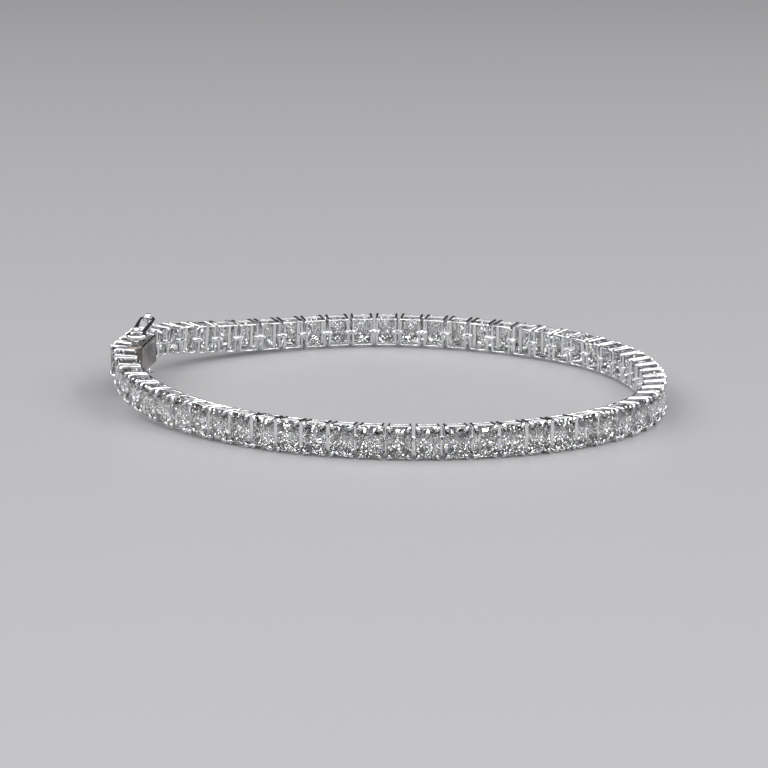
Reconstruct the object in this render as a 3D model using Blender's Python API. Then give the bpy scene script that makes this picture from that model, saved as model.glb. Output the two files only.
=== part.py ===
"""A tennis bracelet: a closed line of cut-corner stones in four-claw baskets, standing on its edge.

Every link has its own frame: U runs along the line, V points outwards through the stone's
table, and W runs up the band. A shape in that frame is a list of (U, V, W) corners.
"""
import math

import bmesh
import bpy
import numpy as np
from mathutils import Matrix

MM = 0.001

# The line of stones: a link is as wide as its wrist-side rail, with a gap to the next rail
RAIL_WIDTH = 2.44 * MM
RAIL_GAP = 0.43 * MM
LINK_PITCH = RAIL_WIDTH + RAIL_GAP
LINK_COUNT = 58
FRONT_LINK_COUNT = 30
BOX_STONE_COUNT = 3

# The cut-corner rectangular stone, which overhangs the rail a little
STONE_OVERHANG = 0.02 * MM
STONE_WIDTH = RAIL_WIDTH + STONE_OVERHANG
STONE_LENGTH = 3.30 * MM
STONE_CORNER = 0.32 * MM
TABLE_WIDTH = 1.50 * MM
TABLE_LENGTH = 2.20 * MM
TABLE_CORNER = 0.22 * MM
KEEL_LENGTH = 0.84 * MM
CROWN_HEIGHT = 0.36 * MM
PAVILION_DEPTH = 1.25 * MM
GIRDLE_LEVEL = 0.80 * MM

# The basket: wrist-side rail, prongs, claws and gallery bars
RAIL_LEVEL = -1.30 * MM
RAIL_THICKNESS = 0.30 * MM
RAIL_LENGTH = 3.01 * MM
RAIL_SIDE_BAR = 0.30 * MM
RAIL_END_BAR = 0.38 * MM
PRONG_THICKNESS = 0.16 * MM
CLAW_RISE = 0.46 * MM
CLAW_REACH = 0.45
GALLERY_LEVEL = 0.10 * MM
GALLERY_THICKNESS = 0.20 * MM
GALLERY_INSET = 0.03 * MM

# The hinge: a loop round the side bars of two neighbouring rails
LOOP_INSET = 0.04 * MM
LOOP_WIDTH = 0.44 * MM
LOOP_REACH = 0.20 * MM
HOOP_CLEARANCE = 0.11 * MM
HOOP_WALL = 0.20 * MM

# The clasp box and its tongue
CLASP_STONE_LIFT = 0.60 * MM
CLASP_FRONT_LIFT = 0.15 * MM
BOX_FLOOR_LEVEL = -1.68 * MM
BOX_TOP_LEVEL = 0.05 * MM
BOX_HALF_WIDTH = 1.50 * MM
BOX_WALL = 0.30 * MM
BOX_TOP_WALL = 0.48 * MM
BOX_FRONT_WALL = 1.00 * MM
BOX_FRONT_GAP = 0.45 * MM
BOX_CHAMFER = 0.40 * MM
MOUTH_GAP = 0.13 * MM
PLATE_THICKNESS = 0.30 * MM
PLATE_SEAT = 0.10 * MM
TONGUE_CLEARANCE = 0.08 * MM
TONGUE_SIDE_CLEARANCE = 0.15 * MM
TONGUE_LEAF = 0.20 * MM
TONGUE_LENGTH = 6.0 * MM
TONGUE_FREE_END = 0.80 * MM
TONGUE_LINK_SHIFT = 0.10 * MM

# The safety catches: an eye on the tongue, a ball peg on the box, and a figure-eight wire
EYE_LIFT = 1.25 * MM
EYE_RADIUS = 0.58 * MM
EYE_HALF_THICKNESS = 0.28 * MM
EYE_STEM = 0.24 * MM
CATCH_LEVEL = -0.45 * MM
CATCH_SPAN = 6.20 * MM
CATCH_BAIL_RADIUS = 0.23 * MM
CATCH_RING_RADIUS = 0.27 * MM
CATCH_PIN_CLEARANCE = 0.11 * MM
CATCH_SIDE_CLEARANCE = 0.09 * MM
CATCH_RING_LIFT = 0.38 * MM
CATCH_SHOULDER = 0.45
CATCH_WAIST = 0.85
BALL_RADIUS = 0.43 * MM
BALL_CLEARANCE = 0.18 * MM
BALL_LIFT = 0.92 * MM
PEG_NECK_RADIUS = 0.20 * MM

# Round sections: sides of the wires, the peg, the eye and the catch's front ring
WIRE_SIDES = 5
PEG_SIDES = 10
EYE_SIDES = 10
RING_POINTS = 10

# How far solids that are soldered together run into each other
SOLDER = 0.06 * MM

# The route of the loop seen from above, anticlockwise from the clasp's back end, in
# millimetres, with the share of the clasp's rise off the surface at each point.
ROUTE = (
    (-26.4, 4.5, 1.00),
    (-27.3, -1.2, 1.06),
    (-28.15, -6.9, 1.11),
    (-27.9, -10.2, 0.95),
    (-26.5, -15.3, 0.59),
    (-23.5, -20.3, 0.28),
    (-17.6, -26.8, 0.04),
    (-10.7, -31.9, 0.00),
    (-2.7, -34.9, 0.00),
    (5.9, -35.5, 0.00),
    (14.3, -33.6, 0.00),
    (21.6, -29.2, 0.00),
    (26.9, -22.4, 0.00),
    (29.1, -14.1, 0.00),
    (28.8, -5.5, 0.00),
    (26.5, 2.8, 0.00),
    (22.0, 10.0, 0.00),
    (15.4, 15.6, 0.00),
    (7.7, 19.4, 0.00),
    (-0.8, 20.9, 0.00),
    (-9.2, 19.3, 0.02),
    (-16.8, 15.4, 0.20),
    (-22.9, 10.8, 0.58),
)
ROUTE_SAMPLES = 4000

METAL = 0
STONE = 1
SIGNS = ((1, 1), (-1, 1), (-1, -1), (1, -1))

CLASP_PITCHES = BOX_STONE_COUNT + 1
STATION_COUNT = LINK_COUNT + CLASP_PITCHES
HALF_PITCH = LINK_PITCH / 2
RAIL_TOP = RAIL_LEVEL + RAIL_THICKNESS
BAR_CENTRE = RAIL_WIDTH / 2 - RAIL_SIDE_BAR / 2
BAR_LEVEL = (RAIL_LEVEL + RAIL_TOP) / 2
EDGE = STONE_LENGTH / 2 + PRONG_THICKNESS
EYE_HOLE = CATCH_BAIL_RADIUS + CATCH_PIN_CLEARANCE
CLASP_RISE = EYE_LIFT + EYE_RADIUS
SEAM = -(CLASP_PITCHES / 2 - 1) * LINK_PITCH
TONGUE_MIDDLE = SEAM - HALF_PITCH + TONGUE_LINK_SHIFT


class Solid:
    """Corners, faces and a material number for each face."""

    def __init__(self):
        self.corners = []
        self.faces = []
        self.materials = []

    def corner(self, point):
        self.corners.append(tuple(point))
        return len(self.corners) - 1

    def face(self, corners, material=METAL):
        self.faces.append(tuple(corners))
        self.materials.append(material)


def shifted(solid, offset):
    """The same solid moved along U, V and W."""
    moved = Solid()
    moved.corners = [tuple(np.add(point, offset)) for point in solid.corners]
    moved.faces = list(solid.faces)
    moved.materials = list(solid.materials)
    return moved


def mirrored(solid):
    """The same solid turned over from the upper edge to the lower one."""
    turned = shifted(solid, (0, 0, 0))
    turned.corners = [(u, v, -w) for u, v, w in solid.corners]
    return turned


def prism(outline, low, high, place):
    """A flat outline carried from low to high; place turns (a, b, height) into a corner."""
    solid = Solid()
    bottom = [solid.corner(place(a, b, low)) for a, b in outline]
    top = [solid.corner(place(a, b, high)) for a, b in outline]
    solid.face(bottom)
    solid.face(top)
    for i, j in around(len(outline)):
        solid.face((bottom[i], bottom[j], top[j], top[i]))
    return solid


def block(u_range, v_range, w_range):
    """A box between two values on each axis."""
    (u0, u1), (v0, v1) = u_range, v_range
    outline = ((u0, v0), (u1, v0), (u1, v1), (u0, v1))
    return prism(outline, w_range[0], w_range[1], lambda u, v, w: (u, v, w))


def around(count):
    """Pairs of neighbouring numbers round a closed ring."""
    return [(i, (i + 1) % count) for i in range(count)]


def tube_ring(path, radius, sides):
    """A closed wire: a round section carried along a closed flat path in the U-V plane."""
    points = np.array(path)
    ahead = np.roll(points, -1, axis=0) - np.roll(points, 1, axis=0)
    ahead /= np.linalg.norm(ahead, axis=1)[:, None]
    solid = Solid()
    rows = [wire_row(solid, point, heading, radius, sides) for point, heading in zip(points, ahead)]
    for i, j in around(len(rows)):
        for a, b in around(sides):
            solid.face((rows[i][a], rows[i][b], rows[j][b], rows[j][a]))
    return solid


def tube_run(path, radius, sides):
    """An open wire along a flat path in the U-V plane, closed at both ends."""
    points = np.array(path)
    ahead = np.gradient(points, axis=0)
    ahead /= np.linalg.norm(ahead, axis=1)[:, None]
    solid = Solid()
    rows = [wire_row(solid, point, heading, radius, sides) for point, heading in zip(points, ahead)]
    for lower, upper in zip(rows, rows[1:]):
        for a, b in around(sides):
            solid.face((lower[a], lower[b], upper[b], upper[a]))
    solid.face(rows[0])
    solid.face(rows[-1])
    return solid


def wire_row(solid, point, heading, radius, sides):
    """One ring of corners round a wire."""
    (u, v), (du, dv) = point, heading
    row = []
    for step in range(sides):
        angle = 2 * math.pi * step / sides
        out = radius * math.cos(angle)
        row.append(solid.corner((u + out * dv, v - out * du, radius * math.sin(angle))))
    return row


def turned_peg(profile, sides):
    """A profile of (radius, height) turned round the W axis, closed at both ends."""
    solid = Solid()
    rings = []
    for radius, height in profile:
        ring = []
        for step in range(sides):
            angle = 2 * math.pi * step / sides
            ring.append(solid.corner((radius * math.cos(angle), radius * math.sin(angle), height)))
        rings.append(ring)
    for lower, upper in zip(rings, rings[1:]):
        for a, b in around(sides):
            solid.face((lower[a], lower[b], upper[b], upper[a]))
    solid.face(rings[0])
    solid.face(rings[-1])
    return solid


def to_mesh(name, solid):
    """A Blender mesh of the solid with its faces pointing out."""
    mesh = bpy.data.meshes.new(name)
    mesh.from_pydata(solid.corners, [], solid.faces)
    mesh.polygons.foreach_set("material_index", solid.materials)
    shape = bmesh.new()
    shape.from_mesh(mesh)
    bmesh.ops.recalc_face_normals(shape, faces=shape.faces)
    shape.to_mesh(mesh)
    shape.free()
    mesh.materials.append(bpy.data.materials["polished_metal"])
    mesh.materials.append(bpy.data.materials["clear_stone"])
    return mesh


def fused(first, others, cut=()):
    """One solid: the first with the others joined to it and the cutters taken away."""
    scene = bpy.context.scene.collection.objects
    base = bpy.data.objects.new("base", to_mesh("base", first))
    scene.link(base)
    tools = []
    for operation, solids in (("UNION", others), ("DIFFERENCE", cut)):
        for solid in solids:
            tool = bpy.data.objects.new("tool", to_mesh("tool", solid))
            scene.link(tool)
            tools.append(tool)
            modifier = base.modifiers.new("join", "BOOLEAN")
            modifier.operation = operation
            modifier.object = tool
    base_now = base.evaluated_get(bpy.context.evaluated_depsgraph_get())
    mesh = base_now.to_mesh()
    result = Solid()
    result.corners = [tuple(vertex.co) for vertex in mesh.vertices]
    result.faces = [tuple(polygon.vertices) for polygon in mesh.polygons]
    result.materials = [polygon.material_index for polygon in mesh.polygons]
    base_now.to_mesh_clear()
    for used in [base] + tools:
        used_mesh = used.data
        bpy.data.objects.remove(used)
        bpy.data.meshes.remove(used_mesh)
    return result


def basket(lift=0.0, foot=None):
    """A stone in its basket. lift raises the stone; with a foot level there is no rail,
    and the four prongs start there, closed."""
    solid = Solid()
    start = RAIL_TOP if foot is None else foot
    girdle = GIRDLE_LEVEL + lift
    half_width, half_length = STONE_WIDTH / 2, STONE_LENGTH / 2
    rail_u, rail_w = RAIL_WIDTH / 2, RAIL_LENGTH / 2
    open_u, open_w = rail_u - RAIL_SIDE_BAR, rail_w - RAIL_END_BAR
    claw = girdle + CLAW_RISE
    keel = girdle - PAVILION_DEPTH
    keel_ends = {s: solid.corner((0, keel, s * KEEL_LENGTH / 2)) for s in (1, -1)}
    named = {}
    for u, w in SIGNS:
        long_side = np.array((half_width, girdle, half_length - STONE_CORNER))
        short_side = np.array((half_width - STONE_CORNER, girdle, half_length))
        table_long = np.array((TABLE_WIDTH / 2, girdle + CROWN_HEIGHT, TABLE_LENGTH / 2 - TABLE_CORNER))
        table_short = np.array((TABLE_WIDTH / 2 - TABLE_CORNER, girdle + CROWN_HEIGHT, TABLE_LENGTH / 2))
        claw_end_u = open_u + (short_side[0] - open_u) * (claw - start) / (girdle - start)
        places = {
            "inner": (open_u, start, open_w),
            "side": (rail_u, start, open_w),
            "outer": (rail_u, start, rail_w),
            "end": (open_u, start, rail_w),
            "girdle_long": long_side,
            "girdle_short": short_side,
            "tip_long": long_side + (table_long - long_side) * CLAW_REACH,
            "tip_short": short_side + (table_short - short_side) * CLAW_REACH,
            "table_long": table_long,
            "table_short": table_short,
            "claw_side": (half_width + PRONG_THICKNESS / 3, claw, half_length - STONE_CORNER / 2),
            "claw_end": (claw_end_u, claw, EDGE),
        }
        if foot is None:
            places["rail_outer"] = (rail_u, RAIL_LEVEL, rail_w)
            places["rail_inner"] = (open_u, RAIL_LEVEL, open_w)
        for name, (cu, cv, cw) in places.items():
            named[name, u, w] = solid.corner((u * cu, cv, w * cw))
    for u, w in SIGNS:
        one_prong(solid, {name: index for (name, su, sw), index in named.items() if (su, sw) == (u, w)},
                  keel_ends[w], foot is not None)
    for here, there, kind in ((SIGNS[0], SIGNS[3], "long"), (SIGNS[1], SIGNS[2], "long"),
                              (SIGNS[0], SIGNS[1], "short"), (SIGNS[3], SIGNS[2], "short")):
        stone_side(solid, named, here, there, kind, keel_ends)
        if foot is None:
            rail_side(solid, named, here, there, "side" if kind == "long" else "end")
    table = []
    for number, sign in enumerate(SIGNS):
        order = ("table_long", "table_short") if number % 2 == 0 else ("table_short", "table_long")
        table += [named[name, *sign] for name in order]
    solid.face(table, STONE)
    return solid


def one_prong(solid, at, keel_end, closed):
    """A prong from the rail to its claw, with the stone's corner facets that it holds."""
    solid.face((at["inner"], at["side"], at["claw_side"], at["girdle_long"]))
    solid.face((at["side"], at["outer"], at["claw_side"]))
    solid.face((at["outer"], at["end"], at["claw_end"]))
    solid.face((at["outer"], at["claw_end"], at["claw_side"]))
    solid.face((at["end"], at["inner"], at["girdle_short"], at["claw_end"]))
    solid.face((at["inner"], at["girdle_long"], at["girdle_short"]))
    solid.face((at["girdle_long"], at["claw_side"], at["tip_long"]))
    solid.face((at["girdle_short"], at["tip_short"], at["claw_end"]))
    solid.face((at["claw_side"], at["claw_end"], at["tip_short"], at["tip_long"]))
    solid.face((at["tip_long"], at["tip_short"], at["table_short"], at["table_long"]), STONE)
    solid.face((at["girdle_long"], at["girdle_short"], keel_end), STONE)
    if closed:
        solid.face((at["inner"], at["side"], at["outer"], at["end"]))


def stone_side(solid, named, here, there, kind, keel_ends):
    """The crown and pavilion facets between two corners of the stone."""
    edge, tip, table = ("girdle_" + kind, "tip_" + kind, "table_" + kind)
    solid.face([named[edge, *here], named[tip, *here], named[table, *here],
                named[table, *there], named[tip, *there], named[edge, *there]], STONE)
    ends = sorted({keel_ends[here[1]], keel_ends[there[1]]})
    if len(ends) == 2:
        ends = [keel_ends[there[1]], keel_ends[here[1]]]
    solid.face([named[edge, *here], named[edge, *there]] + ends, STONE)


def rail_side(solid, named, here, there, cell):
    """One side of the rectangular rail: its wrist, inner, outer and stone-side faces."""
    solid.face([named["rail_outer", *here], named["rail_outer", *there],
                named["rail_inner", *there], named["rail_inner", *here]])
    solid.face([named["rail_inner", *here], named["rail_inner", *there],
                named["inner", *there], named["inner", *here]])
    solid.face([named["rail_outer", *here], named["outer", *here], named[cell, *here],
                named[cell, *there], named["outer", *there], named["rail_outer", *there]])
    solid.face([named["inner", *here], named[cell, *here],
                named[cell, *there], named["inner", *there]])


def gallery_bars(lift=0.0, foot=RAIL_TOP):
    """The two bars that tie the prongs together along the basket's upper and lower edges.
    Each is flat outside and has a knife edge towards the stone."""
    low = GALLERY_LEVEL + lift
    high = low + GALLERY_THICKNESS
    share = (low - foot) / (GIRDLE_LEVEL + lift + CLAW_RISE - foot)
    outer = RAIL_LENGTH / 2 + share * (EDGE - RAIL_LENGTH / 2) - GALLERY_INSET
    inner = outer - GALLERY_THICKNESS
    reach = RAIL_WIDTH / 2 - RAIL_SIDE_BAR / 2
    outline = ((low, outer), (high, outer), ((low + high) / 2, inner))
    bar = prism(outline, -reach, reach, lambda v, w, u: (u, v, w))
    return [bar, mirrored(bar)]


def loop_half(side):
    """Half of a hinge loop: it passes through the side bar and ends midway to the next link."""
    window = RAIL_WIDTH / 2 - RAIL_SIDE_BAR - LOOP_REACH
    u_range = sorted((side * window, side * HALF_PITCH))
    return block(u_range, (RAIL_LEVEL + LOOP_INSET, RAIL_TOP - LOOP_INSET),
                 (-LOOP_WIDTH / 2, LOOP_WIDTH / 2))


def hoop(start, bar_centre):
    """An open hinge loop: a square wire frame that runs clear round the next link's side bar."""
    u, v = bar_centre
    hole = max(RAIL_SIDE_BAR, RAIL_THICKNESS) / 2 + HOOP_CLEARANCE
    wall = hole + HOOP_WALL
    outer = ((start, v - wall), (u + wall, v - wall), (u + wall, v + wall), (start, v + wall))
    inner = ((u - hole, v - hole), (u + hole, v - hole), (u + hole, v + hole), (u - hole, v + hole))
    solid = Solid()
    levels = (-LOOP_WIDTH / 2, LOOP_WIDTH / 2)
    rings = [[solid.corner((a, b, w)) for a, b in outline] for w in levels for outline in (outer, inner)]
    outer_low, inner_low, outer_high, inner_high = rings
    for i, j in around(len(outer)):
        solid.face((outer_low[i], outer_low[j], inner_low[j], inner_low[i]))
        solid.face((outer_high[i], outer_high[j], inner_high[j], inner_high[i]))
        solid.face((outer_low[i], outer_low[j], outer_high[j], outer_high[i]))
        solid.face((inner_low[i], inner_low[j], inner_high[j], inner_high[i]))
    return solid


def smooth_loop(points):
    """A closed cubic spline through the points, as a function of the share of its knots."""
    count = len(points)
    gaps = np.linalg.norm(np.roll(points, -1, axis=0)[:, :2] - points[:, :2], axis=1)
    before = np.roll(gaps, 1)
    slopes = (np.roll(points, -1, axis=0) - points) / gaps[:, None]
    system = np.zeros((count, count))
    for i in range(count):
        system[i, i - 1] += before[i]
        system[i, i] += 2 * (before[i] + gaps[i])
        system[i, (i + 1) % count] += gaps[i]
    bends = np.linalg.solve(system, 6 * (slopes - np.roll(slopes, 1, axis=0)))
    knots = np.concatenate(([0.0], np.cumsum(gaps)))
    where = np.linspace(0, knots[-1], ROUTE_SAMPLES, endpoint=False)
    piece = np.clip(np.searchsorted(knots, where, side="right") - 1, 0, count - 1)
    after = (piece + 1) % count
    gap = gaps[piece][:, None]
    near = (where - knots[piece])[:, None]
    far = gap - near
    return ((bends[piece] * far ** 3 + bends[after] * near ** 3) / (6 * gap)
            + (points[piece] / gap - bends[piece] * gap / 6) * far
            + (points[after] / gap - bends[after] * gap / 6) * near)


def joint_points():
    """The hinge points of the line, one pitch apart along the route, from the clasp's back end."""
    points = np.array(ROUTE)
    points[:, :2] *= MM
    points[:, 2] *= CLASP_RISE
    curve = smooth_loop(points)
    closed = np.vstack((curve, curve[:1]))
    steps = np.linalg.norm(np.diff(closed[:, :2], axis=0), axis=1)
    length = np.concatenate(([0.0], np.cumsum(steps)))
    scale = STATION_COUNT * LINK_PITCH / length[-1]
    closed[:, :2] *= scale
    stations = np.arange(STATION_COUNT) * LINK_PITCH
    joints = np.stack([np.interp(stations, length * scale, closed[:, axis]) for axis in range(3)], axis=1)
    joints[:, 2] = np.maximum(joints[:, 2], 0) + EDGE
    return joints


def frame_between(start, end):
    """The frame of a rigid piece between two hinge points: columns U, V, W and the middle."""
    along = (end - start) / np.linalg.norm(end - start)
    out = np.cross(along, (0, 0, 1))
    out /= np.linalg.norm(out)
    return along, out, np.cross(out, along), (start + end) / 2


def place(frame, points):
    """World positions of points given in a frame."""
    along, out, up, middle = frame
    points = np.asarray(points)
    return middle + points[:, :1] * along + points[:, 1:2] * out + points[:, 2:3] * up


def in_frame(frame, point):
    """A world position in a frame's own U, V, W."""
    along, out, up, middle = frame
    offset = point - middle
    return np.array((offset @ along, offset @ out, offset @ up))


def stone_line(joints, after):
    """One run of fused links from the first joint to the last, hooked round the piece after it."""
    frames = [frame_between(a, b) for a, b in zip(joints, joints[1:])]
    hinges = []
    for previous, following, joint in zip(frames, frames[1:], joints[1:]):
        hinges.append(frame_between(joint - previous[0] - following[0], joint + previous[0] + following[0]))
    bar = in_frame(frames[-1], place(after, [(-BAR_CENTRE, BAR_LEVEL, 0)])[0])
    link = fused(basket(), gallery_bars() + [loop_half(-1), loop_half(1)])
    first = fused(basket(), gallery_bars() + [loop_half(1)])
    last = fused(basket(), gallery_bars() + [loop_half(-1), hoop(BAR_CENTRE, bar[:2])])
    line = Solid()
    for number, frame in enumerate(frames):
        shape = first if number == 0 else last if number == len(frames) - 1 else link
        local = np.array(shape.corners)
        world = place(frame, local)
        left = np.abs(local[:, 0] + HALF_PITCH) < SOLDER / 2
        right = np.abs(local[:, 0] - HALF_PITCH) < SOLDER / 2
        flat = local * (0, 1, 1)
        if number > 0:
            world[left] = place(hinges[number - 1], flat[left])
        if number < len(frames) - 1:
            world[right] = place(hinges[number], flat[right])
        base = len(line.corners)
        line.corners += [tuple(point) for point in world]
        for face, material in zip(shape.faces, shape.materials):
            ends = (number > 0 and all(left[list(face)])) or (number < len(frames) - 1 and all(right[list(face)]))
            if not ends:
                line.face([base + index for index in face], material)
    return line


def clasp_box(frame_after, clasp):
    """The housing with its stones, ball pegs, hollow for the tongue and front hoop."""
    start = SEAM + MOUTH_GAP
    end = CLASP_PITCHES / 2 * LINK_PITCH - BOX_FRONT_GAP
    outline = ((start, BOX_FLOOR_LEVEL), (end - BOX_CHAMFER, BOX_FLOOR_LEVEL),
               (end, BOX_FLOOR_LEVEL + BOX_CHAMFER), (end, BOX_TOP_LEVEL), (start, BOX_TOP_LEVEL))
    housing = prism(outline, -BOX_HALF_WIDTH, BOX_HALF_WIDTH, lambda u, v, w: (u, v, w))
    hollow = block((start - BOX_WALL, end - BOX_FRONT_WALL),
                   (BOX_FLOOR_LEVEL + BOX_WALL, BOX_TOP_LEVEL - BOX_TOP_WALL),
                   (BOX_WALL - BOX_HALF_WIDTH, BOX_HALF_WIDTH - BOX_WALL))
    foot = BOX_TOP_LEVEL - BOX_TOP_WALL / 2
    pieces = []
    for number in range(BOX_STONE_COUNT):
        middle = SEAM + (number + 0.5) * LINK_PITCH
        pieces.append(shifted(basket(CLASP_STONE_LIFT, foot), (middle, 0, 0)))
        pieces += [shifted(bar, (middle, 0, 0)) for bar in gallery_bars(CLASP_STONE_LIFT, foot)]
    peg = shifted(ball_peg(), (peg_place(), CATCH_LEVEL, 0))
    bar = in_frame(clasp, place(frame_after, [(-BAR_CENTRE, BAR_LEVEL, 0)])[0])
    pieces += [peg, mirrored(peg), hoop(end - BOX_FRONT_WALL / 2, bar[:2])]
    return fused(housing, pieces, [hollow])


def ball_peg():
    """A ball on a neck that stands on the box's edge."""
    centre = EDGE + BALL_LIFT
    profile = [(PEG_NECK_RADIUS, BOX_HALF_WIDTH - SOLDER)]
    for degrees in (-60, -25, 15, 50, 78):
        angle = math.radians(degrees)
        profile.append((BALL_RADIUS * math.cos(angle), centre + BALL_RADIUS * math.sin(angle)))
    return turned_peg(profile, PEG_SIDES)


def peg_place():
    """Where the ball pegs and the catches' rings sit along the clasp."""
    return TONGUE_MIDDLE + CATCH_SPAN


def clasp_tongue():
    """The end link with its stone, the folded spring tongue, and the eyes for the catches."""
    middle = TONGUE_MIDDLE
    side = BOX_HALF_WIDTH - BOX_WALL - TONGUE_SIDE_CLEARANCE
    low = BOX_FLOOR_LEVEL + BOX_WALL + TONGUE_CLEARANCE
    high = BOX_TOP_LEVEL - BOX_TOP_WALL - TONGUE_CLEARANCE
    root = SEAM - PLATE_SEAT
    tip = SEAM + TONGUE_LENGTH
    free = SEAM + TONGUE_FREE_END
    fold = tip - TONGUE_LEAF
    outline = ((root, low), (tip, low), (tip, high), (free, high), (free, high - TONGUE_LEAF),
               (fold, high - TONGUE_LEAF), (fold, low + TONGUE_LEAF), (root, low + TONGUE_LEAF))
    spring = prism(outline, -side, side, lambda u, v, w: (u, v, w))
    plate = block((SEAM - PLATE_THICKNESS, SEAM - SOLDER / 2),
                  (low - TONGUE_LEAF, high), (-side - SOLDER / 2, side + SOLDER / 2))
    link = basket(CLASP_STONE_LIFT)
    pieces = gallery_bars(CLASP_STONE_LIFT)
    eye = catch_eye()
    pieces += eye + [mirrored(piece) for piece in eye]
    return fused(shifted(link, (middle, 0, 0)),
                 [shifted(piece, (middle, 0, 0)) for piece in pieces] + [plate, spring])


def catch_eye():
    """A round eye on a stem, with a foot that bridges the rail and the gallery bar."""
    centre = EDGE + EYE_LIFT
    ring = Solid()
    rows = []
    for radius in (EYE_RADIUS, EYE_HOLE):
        for level in (CATCH_LEVEL - EYE_HALF_THICKNESS, CATCH_LEVEL + EYE_HALF_THICKNESS):
            row = []
            for step in range(EYE_SIDES):
                angle = 2 * math.pi * (step + 0.5) / EYE_SIDES
                row.append(ring.corner((radius * math.cos(angle), level, centre + radius * math.sin(angle))))
            rows.append(row)
    outer_low, outer_high, inner_low, inner_high = rows
    for i, j in around(EYE_SIDES):
        ring.face((outer_low[i], outer_low[j], outer_high[j], outer_high[i]))
        ring.face((inner_low[i], inner_low[j], inner_high[j], inner_high[i]))
        ring.face((outer_low[i], outer_low[j], inner_low[j], inner_low[i]))
        ring.face((outer_high[i], outer_high[j], inner_high[j], inner_high[i]))
    foot_top = RAIL_LENGTH / 2 + GALLERY_THICKNESS / 2
    foot_bottom = foot_top - 2 * GALLERY_THICKNESS + SOLDER
    stem = block((-EYE_STEM, EYE_STEM), (CATCH_LEVEL - EYE_STEM, CATCH_LEVEL + EYE_STEM),
                 (foot_bottom + SOLDER, centre - (EYE_RADIUS + EYE_HOLE) / 2))
    foot = block((-EYE_STEM - SOLDER, EYE_STEM + SOLDER),
                 (RAIL_TOP - RAIL_THICKNESS / 2, GALLERY_LEVEL + CLASP_STONE_LIFT + GALLERY_THICKNESS / 2),
                 (foot_bottom, foot_top))
    return [ring, stem, foot]


def safety_catch():
    """The figure-eight wire: a long bail through the eye, and a ring about the ball's neck."""
    drop = EYE_LIFT - CATCH_RING_LIFT
    span = math.hypot(CATCH_SPAN, drop)
    ring_radius = BALL_RADIUS + BALL_CLEARANCE + CATCH_RING_RADIUS
    half = EYE_HALF_THICKNESS + CATCH_SIDE_CLEARANCE + CATCH_BAIL_RADIUS
    bend = half - EYE_HALF_THICKNESS - SOLDER
    join = ring_radius * math.sqrt(0.5)
    side = [(bend * (1 - math.cos(turn)), half - bend + bend * math.sin(turn))
            for turn in (0, math.pi / 4, math.pi / 2)]
    side += [(span * CATCH_SHOULDER, half), (span - join - CATCH_RING_RADIUS, join * CATCH_WAIST),
             (span - join, join)]
    bail = [(u, -v) for u, v in reversed(side)] + side
    ring = [(span + ring_radius * math.cos(angle), ring_radius * math.sin(angle))
            for angle in (2 * math.pi * (step + 0.5) / RING_POINTS for step in range(RING_POINTS))]
    wire = fused(tube_run(bail, CATCH_BAIL_RADIUS, WIRE_SIDES),
                 [tube_ring(ring, CATCH_RING_RADIUS, WIRE_SIDES)])
    return wire, math.atan2(drop, CATCH_SPAN)


def material(name, colour, roughness, metallic):
    """A Principled material."""
    made = bpy.data.materials.new(name)
    made.use_nodes = True
    shader = made.node_tree.nodes["Principled BSDF"]
    shader.inputs["Base Color"].default_value = (*colour, 1)
    shader.inputs["Roughness"].default_value = roughness
    shader.inputs["Metallic"].default_value = metallic
    made.diffuse_color = (*colour, 1)
    return made


def add_object(name, solid, parent=None):
    """A named object of the solid, with doubled corners welded."""
    mesh = to_mesh(name, solid)
    shape = bmesh.new()
    shape.from_mesh(mesh)
    bmesh.ops.remove_doubles(shape, verts=shape.verts, dist=0.001 * MM)
    bmesh.ops.recalc_face_normals(shape, faces=shape.faces)
    shape.to_mesh(mesh)
    shape.free()
    made = bpy.data.objects.new(name, mesh)
    bpy.context.scene.collection.objects.link(made)
    made.parent = parent
    return made


def in_world(frame, solid):
    """The solid with its corners placed by a frame."""
    placed = shifted(solid, (0, 0, 0))
    placed.corners = [tuple(point) for point in place(frame, solid.corners)]
    return placed


def centred(solids):
    """The sideways shift that brings the middle of the solids' outline to the origin."""
    points = np.array([corner for solid in solids for corner in solid.corners])
    middle = (points.min(axis=0) + points.max(axis=0)) / 2
    return np.array((-middle[0], -middle[1], 0))


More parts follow.
